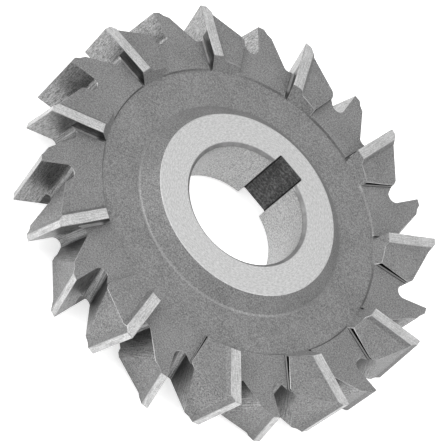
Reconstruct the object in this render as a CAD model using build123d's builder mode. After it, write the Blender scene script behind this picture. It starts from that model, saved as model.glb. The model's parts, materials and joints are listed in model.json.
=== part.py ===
from build123d import *
from math import atan2, cos, degrees, pi, radians, sin, sqrt, tan
import os

# Staggered-tooth side milling cutter, one piece of high-speed steel.
# The cutter lies flat: its axis is Z, the origin is in the middle of the bore and of the width,
# and the keyway points along +Y. Seen from +Z it turns counter-clockwise as it cuts.

# Body
outside_diameter = 110.0
width = 18.0
hub_diameter = 49.0
bore_diameter = 32.0
bore_chamfer = 0.8
recess_diameter = 76.6      # turned recess between the hub and the side teeth, on both faces
recess_depth = 3.6
hub_cone_width = 3.8        # radial width of the cone from the hub face down to the recess floor
rim_cone_width = 2.6        # and of the one from the recess floor up to the side teeth
recess_fillet = 0.8

# Keyway for the arbor's key
keyway_width = 8.0
keyway_height = 34.8        # from its floor to the far wall of the bore
keyway_corner_radius = 0.4

# Teeth: every other one cuts on the front face, the rest on the back face
tooth_count = 22
first_tooth_angle = 80.7    # leading corner of a front tooth, from +X
helix_angle = 12.0
rake_angle = 4.3

# Gullets
gullet_depth = 8.7
gullet_floor_width = 2.7
gullet_flank_angle = 44.0
rake_root_radius = 1.8
flank_root_radius = 1.2

# Ground land along the periphery, a small step behind it, and the relief flat of the tooth's back
land_width = 1.8
land_relief_angle = 5.5
step_width = 1.0
step_angle = 48.0
back_relief_angle = 31.5
back_relief_share = 0.92    # of the tooth pitch, at the front face, so it clears the next rake face

# Side teeth: ground land, a small step and a relief flat behind it, and the pocket in front of
# the next side tooth
side_land_width = 2.8
side_step_width = 0.9
side_step_angle = 46.0
side_relief_angle = 8.3
side_relief_share = 0.7            # of the tooth pitch; the pocket takes away the rest
pocket_depth = 3.1
pocket_wall_offset = 12.1          # behind the last side tooth's tip line, at the gullets' root
pocket_wall_angle = 25.6           # between the wall and that tip line
gash_depth = 0.45                  # groove at the foot of the side rake face
gash_width = 0.8

outer_radius = outside_diameter / 2
root_radius = outer_radius - gullet_depth
bore_radius = bore_diameter / 2
hub_radius = hub_diameter / 2
recess_radius = recess_diameter / 2
half_width = width / 2
floor_height = half_width - recess_depth
tooth_length = width - pocket_depth
pitch_angle = 360.0 / tooth_count
tooth_pitch = pi * outside_diameter / tooth_count
clear = 2.0                        # how far the cuts run past the blank
grinding_stock = 0.3               # on the blank's rim, taken off with the lands
back_overrun = 0.2                 # of the back relief, past the tooth's far end

# The straight tip of a helical tooth stands further out at its ends than at its middle, so its
# middle is set in a little and its ends lie on the outside diameter.
helix_slope = tan(radians(helix_angle))
rake_slope = tan(radians(rake_angle))
tip_swing = helix_slope * tooth_length / 2
tip_height = sqrt(outer_radius**2 - tip_swing**2)
swing_angle = degrees(atan2(tip_swing, tip_height))


# Blank: hub, recesses and rim in one turned profile
with BuildPart() as blank:
    with BuildSketch(Plane.XZ):
        with BuildLine():
            Polyline(
                (bore_radius, 0),
                (bore_radius, half_width - bore_chamfer),
                (bore_radius + bore_chamfer, half_width),
                (hub_radius, half_width),
                (hub_radius + hub_cone_width, floor_height),
                (recess_radius, floor_height),
                (recess_radius + rim_cone_width, half_width),
                (outer_radius + grinding_stock, half_width),
                (outer_radius + grinding_stock, 0),
                close=True,
            )
        make_face()
        mirror(about=Plane.XZ)
    revolve(axis=Axis.Z)
    cone_foot = blank.edges().filter_by(GeomType.CIRCLE).filter_by(
        lambda edge: abs(edge.radius - hub_radius - hub_cone_width) < 0.01
    )
    fillet(cone_foot, radius=recess_fillet)

# The cuts round one front tooth. X runs out along its tip line and Y towards the direction of
# cutting, with the middle of the tooth's length on the X axis. The tooth trails as it goes down
# from the front face, so all its cuts slant the same way, down the helix.
down_the_helix = (0, -helix_slope, -1)
slant = sqrt(1 + helix_slope**2)
top_height = half_width + clear
top_shift = tip_swing + helix_slope * clear
cut_plane = Plane((tip_height, top_shift, top_height))

# Gullet in front of the tooth, right through the blank, square to the helix
rake_foot = -rake_slope * gullet_depth
floor_end = rake_foot + gullet_floor_width
flank_run = (gullet_depth + clear) / tan(radians(gullet_flank_angle))
gullet_plane = Plane(
    origin=(tip_height, tip_swing - helix_slope * half_width, 0),
    x_dir=(1, 0, 0),
    z_dir=(0, helix_slope, 1),
)
with BuildPart() as gullet:
    with BuildSketch(gullet_plane) as gullet_outline:
        with BuildLine():
            Polyline(
                (clear, rake_slope * clear),
                (-gullet_depth, rake_foot),
                (-gullet_depth, floor_end),
                (clear, floor_end + flank_run),
                close=True,
            )
        make_face()
        rake_corner = gullet_outline.vertices().group_by(Axis.X)[0].sort_by(Axis.Y)[0]
        fillet(rake_corner, radius=rake_root_radius)
        flank_corner = gullet_outline.vertices().group_by(Axis.X)[0].sort_by(Axis.Y)[-1]
        fillet(flank_corner, radius=flank_root_radius)
    extrude(amount=width, both=True)

# Land, step and relief flat of the tooth's back, as long as the tooth. The relief flat ends short
# of the next tooth's rake face, whose helix leans the other way.
land_drop = land_width * tan(radians(land_relief_angle))
step_drop = land_drop + step_width * tan(radians(step_angle))
step_end = land_width + step_width
back_drop = step_drop + (tooth_pitch - step_end) * tan(radians(back_relief_angle))
back_boundary = Plane(
    origin=(tip_height, tip_swing - back_relief_share * tooth_pitch, half_width),
    z_dir=(0, 1, helix_slope),
)
with BuildPart() as back_relief:
    with BuildSketch(cut_plane):
        with BuildLine():
            Polyline(
                (clear, land_width),
                (land_drop, land_width),
                (-land_drop, -land_width),
                (-step_drop, -step_end),
                (-back_drop, -tooth_pitch),
                (clear, -tooth_pitch),
                close=True,
            )
        make_face()
    extrude(amount=(clear + tooth_length + back_overrun) * slant, dir=down_the_helix)
    split(bisect_by=back_boundary, keep=Keep.TOP)

# Step and relief flat of the side tooth. The outline stands upright outside the rim: its X runs
# back from the tip line and its Y up from the front face, and it is drawn inwards along that line.
side_plane = Plane(
    origin=(tip_height + clear, tip_swing + rake_slope * clear, half_width),
    x_dir=(rake_slope, -1, 0),
    z_dir=(-1, -rake_slope, 0),
)
side_step_end = side_land_width + side_step_width
side_step_drop = side_step_width * tan(radians(side_step_angle))
side_relief_end = side_land_width + side_relief_share * tooth_pitch
side_relief_drop = (side_relief_end - side_step_end) * tan(radians(side_relief_angle))
with BuildPart() as side_relief:
    with BuildSketch(side_plane):
        with BuildLine():
            Polyline(
                (side_land_width, clear),
                (side_land_width, 0),
                (side_step_end, -side_step_drop),
                (side_relief_end, -side_step_drop - side_relief_drop),
                (side_relief_end, clear),
                close=True,
            )
        make_face()
    extrude(amount=outer_radius - recess_radius + 3 * clear)


def behind_tooth(along, behind, angle):
    """Point beside the tip line of a tooth that stands at an angle ahead of this one."""
    turn = radians(angle + swing_angle)
    return (
        along * cos(turn) + behind * sin(turn) - tip_height,
        along * sin(turn) - behind * cos(turn) - tip_swing,
    )


# Pocket from the wall behind the last side tooth to this one's rake face
rake_run = tip_height - recess_radius + clear
wall_reach = root_radius - recess_radius + clear
wall_inner_offset = pocket_wall_offset - wall_reach * tan(radians(pocket_wall_angle))
with BuildPart() as pocket:
    with BuildSketch(cut_plane):
        with BuildLine():
            Polyline(
                (2 * clear, rake_slope * 2 * clear),
                (-rake_run, -rake_slope * rake_run),
                behind_tooth(recess_radius - clear, wall_inner_offset, 2 * pitch_angle),
                behind_tooth(root_radius, pocket_wall_offset, 2 * pitch_angle),
                behind_tooth(outer_radius + clear, pocket_wall_offset, 2 * pitch_angle),
                behind_tooth(outer_radius + 2 * clear, 0, pitch_angle),
                close=True,
            )
        make_face()
    extrude(amount=(pocket_depth + clear) * slant, dir=down_the_helix)

# Gash: narrow groove along the foot of the side rake face, from the gullet into the recess
gash_start = gullet_depth - rake_root_radius
with BuildPart() as gash:
    with BuildSketch(cut_plane):
        with BuildLine():
            Polyline(
                (-gash_start, -rake_slope * gash_start),
                (-rake_run, -rake_slope * rake_run),
                (-rake_run, -rake_slope * rake_run + gash_width),
                (-gash_start, -rake_slope * gash_start + gash_width),
                close=True,
            )
        make_face()
    extrude(amount=(pocket_depth + gash_depth + clear) * slant, dir=down_the_helix)

# One tooth's cuts together, and their mirror image for the teeth that cut on the back face
with BuildPart() as front_cut:
    add(gullet.part)
    add(back_relief.part)
    add(side_relief.part)
    add(pocket.part)
    add(gash.part)
back_cut = mirror(front_cut.part, about=Plane.XY, mode=Mode.PRIVATE)

with BuildPart() as milling_cutter:
    add(blank.part)
    front_start = first_tooth_angle - swing_angle
    with PolarLocations(0, tooth_count // 2, start_angle=front_start):
        add(front_cut.part, mode=Mode.SUBTRACT)
    with PolarLocations(0, tooth_count // 2, start_angle=front_start + pitch_angle):
        add(back_cut, mode=Mode.SUBTRACT)

    # Keyway, cut through from face to face
    with BuildSketch(Plane.XY.offset(-top_height)) as keyway:
        floor_distance = keyway_height - bore_radius
        Rectangle(keyway_width, floor_distance, align=(Align.CENTER, Align.MIN))
        fillet(keyway.vertices().group_by(Axis.Y)[-1], radius=keyway_corner_radius)
    extrude(amount=2 * top_height, mode=Mode.SUBTRACT)

milling_cutter.part.label = "milling_cutter"
os.makedirs("parts", exist_ok=True)
export_step(milling_cutter.part, "parts/milling_cutter.step")
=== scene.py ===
import bpy
import json
import math
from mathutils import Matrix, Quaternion, Vector


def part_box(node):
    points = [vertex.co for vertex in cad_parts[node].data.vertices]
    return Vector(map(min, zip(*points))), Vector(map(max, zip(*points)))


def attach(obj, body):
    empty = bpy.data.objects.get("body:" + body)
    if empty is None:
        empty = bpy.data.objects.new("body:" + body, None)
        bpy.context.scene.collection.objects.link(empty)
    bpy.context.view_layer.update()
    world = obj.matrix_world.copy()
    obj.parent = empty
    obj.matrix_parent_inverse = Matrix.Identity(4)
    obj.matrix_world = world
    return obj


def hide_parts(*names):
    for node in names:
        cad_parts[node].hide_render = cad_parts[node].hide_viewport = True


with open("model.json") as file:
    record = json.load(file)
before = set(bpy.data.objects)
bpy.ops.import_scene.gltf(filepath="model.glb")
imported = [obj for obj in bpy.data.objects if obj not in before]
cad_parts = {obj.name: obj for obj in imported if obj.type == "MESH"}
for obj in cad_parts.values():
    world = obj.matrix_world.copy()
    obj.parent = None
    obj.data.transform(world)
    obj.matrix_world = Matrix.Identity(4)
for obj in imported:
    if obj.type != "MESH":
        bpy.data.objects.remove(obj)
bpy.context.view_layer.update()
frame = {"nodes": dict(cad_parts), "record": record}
print("Cutter loaded from the frame")


# Small helpers

def deselectAll():
    if bpy.context.object and bpy.context.object.mode != "OBJECT":
        bpy.ops.object.mode_set(mode="OBJECT")
    bpy.ops.object.select_all(action="DESELECT")


def makeActive(thing):
    deselectAll()
    thing.select_set(True)
    bpy.context.view_layer.objects.active = thing


def addNode(tree, kind, x, y, **settings):
    node = tree.nodes.new(kind)
    node.location = (x, y)
    for name, value in settings.items():
        setattr(node, name, value)
    return node


def fill(tree, socket, value):  # a number or colour is set, an output is linked
    if isinstance(value, bpy.types.NodeSocket):
        tree.links.new(value, socket)
    else:
        socket.default_value = value


def mathNode(tree, operation, x, y, *values):
    node = addNode(tree, "ShaderNodeMath", x, y, operation=operation)
    for socket, value in zip(node.inputs, values):
        fill(tree, socket, value)
    return node.outputs[0]


def splitVector(tree, x, y, vector):
    node = addNode(tree, "ShaderNodeSeparateXYZ", x, y)
    tree.links.new(vector, node.inputs[0])
    return node.outputs


def joinVector(tree, x, y, parts):
    node = addNode(tree, "ShaderNodeCombineXYZ", x, y)
    for socket, value in zip(node.inputs, parts):
        fill(tree, socket, value)
    return node.outputs[0]


def noiseNode(tree, x, y, vector, scale, detail, roughness):
    node = addNode(tree, "ShaderNodeTexNoise", x, y)
    tree.links.new(vector, node.inputs["Vector"])
    fill(tree, node.inputs["Scale"], scale)
    node.inputs["Detail"].default_value = detail
    node.inputs["Roughness"].default_value = roughness
    return node.outputs["Fac"]


def rampNode(tree, x, y, value, low, high):  # 0 below low, 1 above high
    node = addNode(tree, "ShaderNodeMapRange", x, y, interpolation_type="SMOOTHSTEP")
    tree.links.new(value, node.inputs["Value"])
    node.inputs["From Min"].default_value = low
    node.inputs["From Max"].default_value = high
    return node.outputs["Result"]


def mixTone(tree, x, y, factor, first, second, blend="MIX"):
    node = addNode(tree, "ShaderNodeMix", x, y, data_type="RGBA", blend_type=blend)
    fill(tree, node.inputs["Factor"], factor)
    fill(tree, node.inputs["A"], first)
    fill(tree, node.inputs["B"], second)
    return node.outputs["Result"]


def newGroup(name, inputs, outputs):
    tree = bpy.data.node_groups.new(name, "ShaderNodeTree")
    for label in inputs:
        tree.interface.new_socket(name=label, in_out="INPUT", socket_type="NodeSocketFloat")
    for label in outputs:
        tree.interface.new_socket(name=label, in_out="OUTPUT", socket_type="NodeSocketFloat")
    return tree, addNode(tree, "NodeGroupInput", -1100, 0), addNode(tree, "NodeGroupOutput", 1100, 0)


def placeGroup(tree, group, x, y, values=None):  # each input takes the value of its own name
    node = addNode(tree, "ShaderNodeGroup", x, y, node_tree=group)
    for socket in node.inputs:
        socket.default_value = values[socket.name.lower()]
    return node


def grey(tone):
    return (tone, tone, tone, 1)


# Places on the cutter in metres, from its box, its bore and a few of its sizes

cutter = {
    "hubRadius": 0.0245,
    "creaseRadii": (0.02804, 0.02864),  # small fillet at the foot of the hub's cone
    "recessRadius": 0.0383,
    "recessStepEnd": 0.0388,            # step from the recess floor up to the pockets' floor
    "rootRadius": 0.0463,               # of the gullets' floor
    "rootFilletEnd": 0.0482,            # where the gullets' round roots have run out
    "stepRadius": 0.0526,               # the steps behind the rim's lands lie further out
    "landRadius": 0.0534,               # and so do the lands
    "pocketDepth": 0.0031,
    "gashDepth": 0.00045,
    "keywayWidth": 0.008,
    "keywayHeight": 0.0348,             # from its floor to the far wall of the bore
}

lowCorner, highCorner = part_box("milling_cutter")
mounts = {mount["name"]: mount for mount in frame["record"]["mounts"]}
halfWidth = highCorner.z
boreRadius = mounts["bore"]["dims"]["r_mm"] / 1000
keywayCorner = math.hypot(cutter["keywayWidth"] / 2, cutter["keywayHeight"] - boreRadius)
pocketFloor = halfWidth - cutter["pocketDepth"]
gashFloor = pocketFloor - cutter["gashDepth"]


# Node groups that several finishes share

patterns = {
    "grainDetail": 5.0,
    "grainRoughness": 0.7,
    "grainShare": 0.88,
    "patchDetail": 4.0,
    "patchRoughness": 0.55,
    "patchShare": 0.12,
    "pitScale": 0.7,           # of the grain's scale
    "pitEdge": (0.1, 0.6),     # from a pit's middle to the level surface
    "speckScale": 2700.0,
    "speckDetail": 5.0,
    "speckRoughness": 0.7,
    "fineDetail": 2.0,         # of the grinding lines
    "coarseDetail": 3.0,
    "lineRoughness": 0.5,
    "coarsePlane": 7.0,        # the noise's third coordinate, apart from the fine lines' zero
    "ringDetail": 4.0,
    "ringRoughness": 0.6,
}


def makeCutterPlace():  # radius and depth under the nearer face in metres, turn in radians
    tree, groupIn, groupOut = newGroup("cutterPlace", [], ["Radius", "Turn", "Depth"])
    coordinates = addNode(tree, "ShaderNodeTexCoord", -900, 0)
    x, y, z = splitVector(tree, -700, 0, coordinates.outputs["Object"])
    xSquare = mathNode(tree, "MULTIPLY", -500, 200, x, x)
    ySquare = mathNode(tree, "MULTIPLY", -500, 60, y, y)
    bothSquares = mathNode(tree, "ADD", -320, 120, xSquare, ySquare)
    tree.links.new(mathNode(tree, "SQRT", -120, 120, bothSquares), groupOut.inputs["Radius"])
    tree.links.new(mathNode(tree, "ARCTAN2", -320, -60, y, x), groupOut.inputs["Turn"])
    height = mathNode(tree, "ABSOLUTE", -500, -200, z)
    depth = mathNode(tree, "SUBTRACT", -320, -200, halfWidth, height)
    tree.links.new(depth, groupOut.inputs["Depth"])
    return tree


def makeBlastGrain():  # fine peened surface: a tone and a height
    tree, groupIn, groupOut = newGroup("blastGrain", ["Grain", "Patch"], ["Tone", "Height"])
    coordinates = addNode(tree, "ShaderNodeTexCoord", -900, 0).outputs["Object"]
    grainScale, patchScale = groupIn.outputs["Grain"], groupIn.outputs["Patch"]
    grain = noiseNode(
        tree, -500, 200, coordinates, grainScale, patterns["grainDetail"], patterns["grainRoughness"]
    )
    patch = noiseNode(
        tree, -500, -60, coordinates, patchScale, patterns["patchDetail"], patterns["patchRoughness"]
    )
    grainPart = mathNode(tree, "MULTIPLY", -250, 200, grain, patterns["grainShare"])
    patchPart = mathNode(tree, "MULTIPLY", -250, -60, patch, patterns["patchShare"])
    tree.links.new(mathNode(tree, "ADD", 0, 100, grainPart, patchPart), groupOut.inputs["Tone"])
    pits = addNode(tree, "ShaderNodeTexVoronoi", -500, -300, feature="F1")
    tree.links.new(coordinates, pits.inputs["Vector"])
    pitScale = mathNode(tree, "MULTIPLY", -700, -300, grainScale, patterns["pitScale"])
    tree.links.new(pitScale, pits.inputs["Scale"])
    pitDepth = rampNode(tree, -250, -300, pits.outputs["Distance"], *patterns["pitEdge"])
    tree.links.new(mathNode(tree, "ADD", 0, -200, grain, pitDepth), groupOut.inputs["Height"])
    return tree


def addSpeckle(tree, tone, share):  # bright and dull specks of the steel's own grain, over the lines
    coordinates = addNode(tree, "ShaderNodeTexCoord", -200, 400).outputs["Object"]
    specks = noiseNode(
        tree, 0, 400, coordinates,
        patterns["speckScale"], patterns["speckDetail"], patterns["speckRoughness"]
    )
    eitherWay = mathNode(tree, "SUBTRACT", 200, 400, specks, 0.5)
    return mathNode(tree, "ADD", 600, 100, tone, mathNode(tree, "MULTIPLY", 400, 300, eitherWay, share))


def makeGrindLines():  # lines that run along U of the piece's own map
    inputs = ["Lines", "Length", "Coarse", "Speckle"]
    tree, groupIn, groupOut = newGroup("grindLines", inputs, ["Tone", "Height"])
    grain = addNode(tree, "ShaderNodeUVMap", -1000, 0, uv_map="grain")
    u, v, plane = splitVector(tree, -820, 0, grain.outputs["UV"])
    along = mathNode(tree, "MULTIPLY", -620, 200, u, groupIn.outputs["Length"])
    fineAcross = mathNode(tree, "MULTIPLY", -620, 40, v, groupIn.outputs["Lines"])
    coarseAcross = mathNode(tree, "MULTIPLY", -620, -120, v, groupIn.outputs["Coarse"])
    finePlace = joinVector(tree, -400, 140, (along, fineAcross, 0.0))
    coarsePlace = joinVector(tree, -400, -80, (along, coarseAcross, patterns["coarsePlane"]))
    roughness = patterns["lineRoughness"]
    fine = noiseNode(tree, -200, 140, finePlace, 1.0, patterns["fineDetail"], roughness)
    coarse = noiseNode(tree, -200, -80, coarsePlace, 1.0, patterns["coarseDetail"], roughness)
    mean = mathNode(tree, "MULTIPLY", 200, 60, mathNode(tree, "ADD", 20, 60, fine, coarse), 0.5)
    tree.links.new(addSpeckle(tree, mean, groupIn.outputs["Speckle"]), groupOut.inputs["Tone"])
    tree.links.new(mean, groupOut.inputs["Height"])
    return tree


def makeTurnedLines():  # rings round the axis, on faces and in the bore
    tree, groupIn, groupOut = newGroup("turnedLines", ["Lines", "Length", "Speckle"], ["Tone", "Height"])
    place = placeGroup(tree, cutterPlace, -900, 0)
    around = mathNode(tree, "MULTIPLY", -600, 200, place.outputs["Turn"], groupIn.outputs["Length"])
    across = mathNode(tree, "ADD", -600, 40, place.outputs["Radius"], place.outputs["Depth"])
    lines = mathNode(tree, "MULTIPLY", -400, 40, across, groupIn.outputs["Lines"])
    ringPlace = joinVector(tree, -250, 140, (around, lines, 0.0))
    rings = noiseNode(tree, -100, 140, ringPlace, 1.0, patterns["ringDetail"], patterns["ringRoughness"])
    tree.links.new(addSpeckle(tree, rings, groupIn.outputs["Speckle"]), groupOut.inputs["Tone"])
    tree.links.new(rings, groupOut.inputs["Height"])
    return tree


cutterPlace = makeCutterPlace()
blastGrain = makeBlastGrain()
grindLines = makeGrindLines()
turnedLines = makeTurnedLines()
print("Node groups made")


# Finishes. Tones and roughness go from the pattern's dark parts to its bright ones, and the spread
# is the stretch of the pattern between them. Grain, patch, lines, length and coarse are scales,
# and depths and radii are in metres.

steelIor = 2.2

blasted = {
    "tones": (0.03, 0.245), "spread": (0.3, 0.7), "metallic": 0.3, "roughness": (0.78, 0.6),
    "grain": 2900.0, "patch": 130.0, "bump": 0.5, "bumpDepth": 0.00005,
}
backRelief = {**blasted, "tones": (0.03, 0.29), "metallic": 0.75, "roughness": (0.54, 0.4)}
# painted shadow line along the gashes' edges
gashShadowLine = {**blasted, "tones": (0.01, 0.06), "grain": 900.0}
# Steps behind the lands: a little darker than the blasted body, as painted shade
step = {
    "tones": (0.03, 0.21), "spread": (0.3, 0.7), "metallic": 0.4, "roughness": (0.66, 0.5),
    "grain": 2900.0, "patch": 130.0, "bump": 0.4, "bumpDepth": 0.00004,
}
recessStep = {**step, "tones": (0.06, 0.17), "metallic": 0.6, "roughness": (0.46, 0.36)}
# Fillet at the foot of the hub's cone: lighter than the blasted steel round it, a painted highlight
crease = {
    "tones": (0.11, 0.23), "spread": (0.34, 0.66), "metallic": 0.5, "roughness": (0.5, 0.4),
    "grain": 2900.0, "patch": 130.0, "bump": 0.3, "bumpDepth": 0.00004,
}
brokenEdge = {
    "tones": (0.2, 0.34), "spread": (0.3, 0.7), "metallic": 0.7, "roughness": (0.45, 0.35),
    "grain": 1800.0, "patch": 300.0, "bump": 0.1, "bumpDepth": 0.00001,
}
keyway = {
    "tones": (0.001, 0.14), "spread": (0.4, 0.68), "metallic": 0.6, "roughness": (0.66, 0.5),
    "grain": 1500.0, "patch": 400.0, "bump": 0.4, "bumpDepth": 0.00004,
}
# Keyway's side walls: near-black tones, painted shade
shadedKeywaySide = {
    "tones": (0.001, 0.02), "spread": (0.36, 0.64), "metallic": 0.9, "roughness": (0.7, 0.55),
    "grain": 2600.0, "patch": 400.0, "bump": 0.4, "bumpDepth": 0.00004,
}
land = {
    "tones": (0.24, 0.54), "spread": (0.3, 0.7), "metallic": 0.75, "roughness": (0.46, 0.34),
    "lines": 6200.0, "length": 220.0, "coarse": 3000.0, "speckle": 0.9, "bump": 0.2, "bumpDepth": 0.00002,
}
sideLand = {**land, "tones": (0.3, 0.62), "spread": (0.28, 0.72)}
rake = {
    "tones": (0.08, 0.46), "spread": (0.2, 0.8), "metallic": 0.95, "roughness": (0.46, 0.3),
    "lines": 5200.0, "length": 420.0, "coarse": 2200.0, "speckle": 1.1, "bump": 0.35, "bumpDepth": 0.00003,
}
# Side teeth's rake walls: tones far darker than the rake faces' steel, painted shade
shadedSideWall = {
    "tones": (0.02, 0.11), "spread": (0.32, 0.68), "metallic": 0.9, "roughness": (0.5, 0.35),
    "lines": 5200.0, "length": 420.0, "coarse": 2200.0, "speckle": 0.5, "bump": 0.35, "bumpDepth": 0.00003,
}
root = {
    "tones": (0.05, 0.36), "spread": (0.32, 0.68), "metallic": 0.85, "roughness": (0.52, 0.36),
    "lines": 3600.0, "length": 110.0, "coarse": 1500.0, "speckle": 0.5, "bump": 0.35, "bumpDepth": 0.00004,
}
gullet = {
    "tones": (0.06, 0.42), "spread": (0.22, 0.8), "metallic": 0.8, "roughness": (0.54, 0.4),
    "lines": 5200.0, "length": 220.0, "coarse": 3000.0, "speckle": 1.0, "bump": 0.3, "bumpDepth": 0.00004,
    # painted shade on the flanks, darker towards the gullets' roots
    "shadedRadii": (0.0464, 0.052), "shade": 0.12,
}
# Gash floors: the bright tones are a painted highlight, and painted shade darkens them towards their inner
# ends
gash = {
    "tones": (0.55, 0.8), "spread": (0.3, 0.7), "metallic": 0.7, "roughness": (0.5, 0.4),
    "lines": 5200.0, "length": 300.0, "coarse": 2600.0, "speckle": 0.4, "bump": 0.2, "bumpDepth": 0.00002,
    "shadedRadii": (0.04, 0.0415), "shade": 0.2,
}
# Pockets' far walls: near-black tones are painted shade
shadedPocketWall = {
    "tones": (0.002, 0.012), "spread": (0.3, 0.7), "metallic": 1.0, "roughness": (0.65, 0.5),
    "lines": 4200.0, "length": 300.0, "coarse": 1800.0, "speckle": 0.4, "bump": 0.3, "bumpDepth": 0.00003,
    # painted light along the foot, then a painted shadow line in the corner
    "footDepths": (0.0024, 0.00255), "footLightTone": 0.5,
    "cornerDepths": (0.00288, 0.00298), "cornerShadowTone": 0.02,
}
ring = {
    "tones": (0.4, 0.6), "spread": (0.3, 0.7), "metallic": 0.7, "roughness": (0.5, 0.38),
    "lines": 4000.0, "length": 24.0, "speckle": 0.5, "bump": 0.14, "bumpDepth": 0.00002,
}
bore = {
    "tones": (0.22, 0.54), "spread": (0.3, 0.7), "metallic": 0.6, "roughness": (0.55, 0.42),
    "lines": 6000.0, "length": 30.0, "speckle": 1.4, "bump": 0.2, "bumpDepth": 0.00003,
}
chamfer = {
    "tones": (0.12, 0.2), "spread": (0.3, 0.7), "metallic": 0.5, "roughness": (0.7, 0.55),
    "lines": 9000.0, "length": 5.0, "speckle": 0.3, "bump": 0.2, "bumpDepth": 0.00003,
}


def shadeInside(tree, colour, values):  # painted shade: darker towards the axis, as down in the gullets
    radius = placeGroup(tree, cutterPlace, -400, 400).outputs["Radius"]
    outer = rampNode(tree, 0, 400, radius, *values["shadedRadii"])
    shaded = mixTone(tree, 450, 460, 1.0, colour, grey(values["shade"]), "MULTIPLY")
    return mixTone(tree, 450, 300, outer, shaded, colour)


def paintFootLightAndCornerShadow(tree, colour, values):  # painted light along the wall's foot, and a painted shadow line where it meets the pocket
    depth = placeGroup(tree, cutterPlace, -400, 400).outputs["Depth"]
    foot = rampNode(tree, 0, 400, depth, *values["footDepths"])
    withFoot = mixTone(tree, 450, 460, foot, colour, grey(values["footLightTone"]))
    corner = rampNode(tree, 0, 600, depth, *values["cornerDepths"])
    return mixTone(tree, 450, 300, corner, withFoot, grey(values["cornerShadowTone"]))


def makeSteel(name, pattern, values):  # Principled steel under one of the patterns
    material = bpy.data.materials.new(name)
    material.use_nodes = True
    tree = material.node_tree
    shader = tree.nodes["Principled BSDF"]
    shader.location = (700, 0)
    shader.inputs["Metallic"].default_value = values["metallic"]
    shader.inputs["IOR"].default_value = steelIor
    surface = placeGroup(tree, pattern, -400, 0, values)
    bright = rampNode(tree, 0, 200, surface.outputs["Tone"], *values["spread"])
    darkTone, brightTone = values["tones"]
    colour = mixTone(tree, 200, 200, bright, grey(darkTone), grey(brightTone))
    if "shadedRadii" in values:
        colour = shadeInside(tree, colour, values)
    if "footDepths" in values:
        colour = paintFootLightAndCornerShadow(tree, colour, values)
    tree.links.new(colour, shader.inputs["Base Color"])
    rough = addNode(tree, "ShaderNodeMapRange", 200, -60)
    tree.links.new(surface.outputs["Tone"], rough.inputs["Value"])
    rough.inputs["To Min"].default_value, rough.inputs["To Max"].default_value = values["roughness"]
    tree.links.new(rough.outputs["Result"], shader.inputs["Roughness"])
    bump = addNode(tree, "ShaderNodeBump", 400, -300)
    bump.inputs["Strength"].default_value = values["bump"]
    bump.inputs["Distance"].default_value = values["bumpDepth"]
    tree.links.new(surface.outputs["Height"], bump.inputs["Height"])
    tree.links.new(bump.outputs["Normal"], shader.inputs["Normal"])
    return material


steelKinds = {
    "blastedSteel": (blastGrain, blasted),
    "blastedBack": (blastGrain, backRelief),
    "blastedStep": (blastGrain, step),
    "recessStep": (blastGrain, recessStep),
    "turnedCrease": (blastGrain, crease),
    "groundLand": (grindLines, land),
    "groundSideLand": (grindLines, sideLand),
    "groundHubRing": (turnedLines, ring),
    "groundRake": (grindLines, rake),
    "milledGullet": (grindLines, gullet),
    "milledRoot": (grindLines, root),
    "groundGash": (grindLines, gash),
    "sideRakeWall": (grindLines, shadedSideWall),
    "milledPocketWall": (grindLines, shadedPocketWall),
    "groundBore": (turnedLines, bore),
    "turnedChamfer": (turnedLines, chamfer),
    "broachedKeyway": (blastGrain, keyway),
    "broachedSide": (blastGrain, shadedKeywaySide),
    "brokenEdge": (blastGrain, brokenEdge),
    "gashShadowLine": (blastGrain, gashShadowLine),
}
finishes = {name: makeSteel(name, pattern, values) for name, (pattern, values) in steelKinds.items()}
finishNames = list(finishes)
print("Finishes made")


# The cutter with broken edges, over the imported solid

dressing = {
    "name": "groundCutter",
    "tiny": 0.000001,                # smaller than anything on the cutter
    "flatWithin": 0.3,               # degrees, between triangles of one flat face
    "edgeWidth": 0.0001,
    "edgeAngle": 32.0,               # degrees, edges that turn less stay as they are
    "sharpRadii": (0.0378, 0.0415),  # and so do low edges between these, at the recess's rim
}

# Faces are told by their place, with a margin in metres, and by the way that they look, where 1 is
# straight up, straight out from the axis, or straight in the direction of cutting
sorting = {
    "near": 0.0001,
    "flat": 0.999,
    "upright": 0.35,         # walls look up less than this
    "hardly": 0.2,
    "partly": 0.5,
    "back": 0.6,             # steps, gullets' flanks and pockets' walls look back
    "rake": 0.9,
    "land": 0.97,
}


def facing(centre, normal):  # how much a face looks outwards, and in the direction of cutting
    reach = max(math.hypot(centre.x, centre.y), dressing["tiny"])
    outward = (normal.x * centre.x + normal.y * centre.y) / reach
    forward = (normal.y * centre.x - normal.x * centre.y) / reach
    return outward, forward


def flatFinish(height, radius):  # faces square to the axis
    if height > halfWidth - sorting["near"]:
        return "groundHubRing" if radius < cutter["recessRadius"] else "groundSideLand"
    inGash = abs(height - gashFloor) < sorting["near"] and radius > cutter["recessRadius"]
    return "groundGash" if inGash else "blastedSteel"


def hubFinish(centre, normal, radius):  # other faces inside the recess
    inKeyway = abs(centre.x) < cutter["keywayWidth"] / 2 + sorting["near"] and centre.y > 0
    if inKeyway and radius < keywayCorner and abs(normal.z) < sorting["upright"]:
        if abs(normal.x) > sorting["hardly"] and radius > boreRadius:
            return "broachedSide"
        if radius > boreRadius + sorting["near"]:
            return "broachedKeyway"
    if radius < boreRadius + sorting["near"]:
        return "groundBore"
    if radius < cutter["hubRadius"]:
        return "turnedChamfer"
    creaseStart, creaseEnd = cutter["creaseRadii"]
    return "turnedCrease" if creaseStart < radius < creaseEnd else "blastedSteel"


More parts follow.
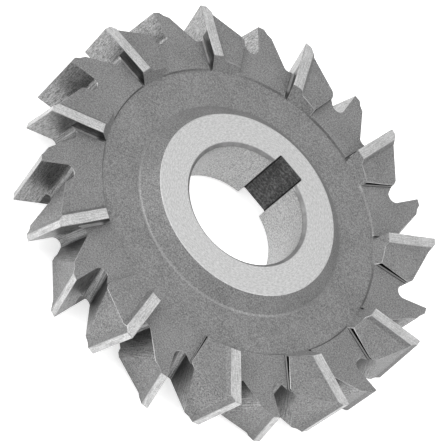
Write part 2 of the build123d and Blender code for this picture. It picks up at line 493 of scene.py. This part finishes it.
def toothFinish(corners, centre, normal, radius):  # and from the recess's rim outwards
    outward, forward = facing(centre, normal)
    height = abs(centre.z)
    top = max(abs(corner.z) for corner in corners)
    low = top < pocketFloor + sorting["near"]
    if radius < cutter["recessStepEnd"] and low and outward < -sorting["partly"]:
        return "recessStep"
    atFace = height > gashFloor
    if forward > sorting["rake"]:
        return "sideRakeWall" if atFace and radius < cutter["rootRadius"] else "groundRake"
    if outward > sorting["land"] and radius > cutter["landRadius"]:
        return "groundLand"
    looksBack = forward < -sorting["back"]
    slopesUp = normal.z * centre.z > sorting["back"] * height
    if looksBack and (radius > cutter["stepRadius"] or atFace and slopesUp):
        return "blastedStep"
    if abs(normal.z) > sorting["upright"]:
        return "blastedSteel"
    if looksBack:
        inPocket = height > pocketFloor and outward < sorting["partly"]
        return "milledPocketWall" if inPocket else "milledGullet"
    return "milledRoot" if radius < cutter["rootFilletEnd"] else "blastedBack"


def finishOf(corners, centre, normal):  # from a face's place and the way that it faces
    radius = sum(math.hypot(corner.x, corner.y) for corner in corners) / len(corners)
    if abs(normal.z) > sorting["flat"]:
        return flatFinish(abs(centre.z), radius)
    if radius < cutter["recessRadius"]:
        return hubFinish(centre, normal, radius)
    return toothFinish(corners, centre, normal, radius)


def mapGrain(mesh):  # U along each face's longest edge, V across it, in metres
    layer = mesh.uv_layers.new(name="grain")
    for polygon in mesh.polygons:
        corners = [mesh.vertices[index].co for index in polygon.vertices]
        sides = [after - before for before, after in zip(corners, corners[1:] + corners[:1])]
        along = max(sides, key=lambda side: side.length).normalized()
        across = polygon.normal.cross(along)
        for loop in polygon.loop_indices:
            point = mesh.vertices[mesh.loops[loop].vertex_index].co
            layer.data[loop].uv = (point.dot(along), point.dot(across))


def weighEdges(mesh):  # the bevel takes outer edges, and leaves inner corners and rounded ones alone
    weights = mesh.attributes.new(name="bevel_weight_edge", type="FLOAT", domain="EDGE")
    facesOf = {}
    for polygon in mesh.polygons:
        for key in polygon.edge_keys:
            facesOf.setdefault(key, []).append(polygon)
    sharpStart, sharpEnd = dressing["sharpRadii"]
    for edge in mesh.edges:
        first, second = facesOf[tuple(sorted(edge.vertices))]
        turned = first.normal.angle(second.normal)
        outer = first.normal.dot(second.center - first.center) < -dressing["tiny"]
        start, end = (mesh.vertices[index].co for index in edge.vertices)
        middle = (start + end) / 2
        atRim = sharpStart < math.hypot(middle.x, middle.y) < sharpEnd
        low = abs(middle.z) < pocketFloor + sorting["near"]
        if outer and not (atRim and low) and turned > math.radians(dressing["edgeAngle"]):
            weights.data[edge.index].value = 1.0


def refinishEdges(mesh):  # ground with the hub ring, dull over the rake faces, a painted shadow line along the gashes
    for polygon in mesh.polygons:
        if finishNames[polygon.material_index] != "brokenEdge":
            continue
        centre = polygon.center
        outward, forward = facing(centre, polygon.normal)
        atPocket = abs(abs(centre.z) - pocketFloor) < sorting["near"]
        if abs(math.hypot(centre.x, centre.y) - cutter["hubRadius"]) < sorting["near"]:
            polygon.material_index = finishNames.index("groundHubRing")
        elif atPocket and forward > sorting["partly"]:
            polygon.material_index = finishNames.index("blastedSteel")
        elif atPocket and forward < -sorting["partly"] and abs(outward) < sorting["hardly"]:
            polygon.material_index = finishNames.index("gashShadowLine")


def dressCutter():
    mesh = frame["nodes"]["milling_cutter"].data.copy()
    piece = bpy.data.objects.new(dressing["name"], mesh)
    bpy.context.scene.collection.objects.link(piece)
    makeActive(piece)
    bpy.ops.object.mode_set(mode="EDIT")
    bpy.ops.mesh.customdata_custom_splitnormals_clear()
    bpy.ops.mesh.select_mode(type="EDGE")
    bpy.ops.mesh.select_all(action="DESELECT")
    bpy.ops.mesh.select_non_manifold()
    bpy.ops.mesh.mark_sharp()
    bpy.ops.mesh.select_all(action="SELECT")
    bpy.ops.mesh.remove_doubles(threshold=dressing["tiny"])
    bpy.ops.mesh.dissolve_limited(
        angle_limit=math.radians(dressing["flatWithin"]), delimit={"SHARP"}
    )
    bpy.ops.object.mode_set(mode="OBJECT")
    mesh.materials.clear()
    for finish in finishes.values():
        mesh.materials.append(finish)
    for polygon in mesh.polygons:
        corners = [mesh.vertices[index].co for index in polygon.vertices]
        polygon.material_index = finishNames.index(finishOf(corners, polygon.center, polygon.normal))
        polygon.use_smooth = True
    mapGrain(mesh)
    weighEdges(mesh)
    bevel = piece.modifiers.new("brokenEdges", "BEVEL")
    bevel.width = dressing["edgeWidth"]
    bevel.segments = 1
    bevel.limit_method = "WEIGHT"
    bevel.use_clamp_overlap = False
    bevel.material = finishNames.index("brokenEdge")
    bpy.ops.object.modifier_apply(modifier=bevel.name)
    refinishEdges(mesh)
    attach(piece, "root")
    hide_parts("milling_cutter")
    return piece


groundCutter = dressCutter()
print("Cutter dressed:", len(groundCutter.data.polygons), "faces")


# Floor, lights and camera

studio = {
    "floorSize": 6.0,
    "floorTone": 0.8,
    "floorRoughness": 0.9,
    "floorGlow": 0.62,
    "worldTone": 0.9,
    "worldStrength": 0.65,
}
softboxes = {
    "keySoftbox": {"direction": (-0.78, -0.40, 0.75), "distance": 1.4, "size": 1.2, "power": 17},
    "fillSoftbox": {"direction": (0.8, -0.1, 0.55), "distance": 1.5, "size": 1.2, "power": 8},
    "topSoftbox": {"direction": (0.1, 0.2, 1.0), "distance": 1.6, "size": 1.6, "power": 8},
}
view = {
    "aim": (-0.0002, -0.0023, 0.0),
    "azimuth": -89.7,
    "elevation": 48.58,
    "distance": 0.8014,
    "roll": 49.71,
    "lens": 263.83,
    "sensor": 36.0,
    "clipStart": 0.05,
}


def makeFloor():
    deselectAll()
    bpy.ops.mesh.primitive_plane_add(size=studio["floorSize"], location=(0, 0, lowCorner.z))
    floor = bpy.context.object
    floor.name = "floor"
    material = bpy.data.materials.new("paleFloor")
    material.use_nodes = True
    shader = material.node_tree.nodes["Principled BSDF"]
    shader.inputs["Base Color"].default_value = grey(studio["floorTone"])
    shader.inputs["Roughness"].default_value = studio["floorRoughness"]
    shader.inputs["Emission Color"].default_value = grey(1.0)
    shader.inputs["Emission Strength"].default_value = studio["floorGlow"]
    floor.data.materials.append(material)


def makeWorld():
    world = bpy.data.worlds.new("studioWorld")
    world.use_nodes = True
    background = world.node_tree.nodes["Background"]
    background.inputs["Color"].default_value = grey(studio["worldTone"])
    background.inputs["Strength"].default_value = studio["worldStrength"]
    bpy.context.scene.world = world


def addSoftbox(name, values):
    deselectAll()
    towards = Vector(values["direction"]).normalized()
    bpy.ops.object.light_add(type="AREA", location=towards * values["distance"])
    lamp = bpy.context.object
    lamp.name = name
    lamp.rotation_mode = "QUATERNION"
    lamp.rotation_quaternion = towards.to_track_quat("Z", "Y")
    lamp.data.shape = "SQUARE"
    lamp.data.size = values["size"]
    lamp.data.energy = values["power"]


def makeCamera():
    azimuth, elevation = math.radians(view["azimuth"]), math.radians(view["elevation"])
    back = Vector((
        math.cos(azimuth) * math.cos(elevation),
        math.sin(azimuth) * math.cos(elevation),
        math.sin(elevation),
    ))
    data = bpy.data.cameras.new("photoCamera")
    data.sensor_width = view["sensor"]
    data.lens = view["lens"]
    data.clip_start = view["clipStart"]
    camera = bpy.data.objects.new("photoCamera", data)
    bpy.context.scene.collection.objects.link(camera)
    camera.location = Vector(view["aim"]) + back * view["distance"]
    camera.rotation_mode = "QUATERNION"
    level = back.to_track_quat("Z", "Y")
    camera.rotation_quaternion = level @ Quaternion((0, 0, 1), math.radians(view["roll"]))
    bpy.context.scene.camera = camera


makeFloor()
makeWorld()
for name, values in softboxes.items():
    addSoftbox(name, values)
makeCamera()
bpy.context.scene.view_settings.view_transform = "Standard"
print("Studio made")
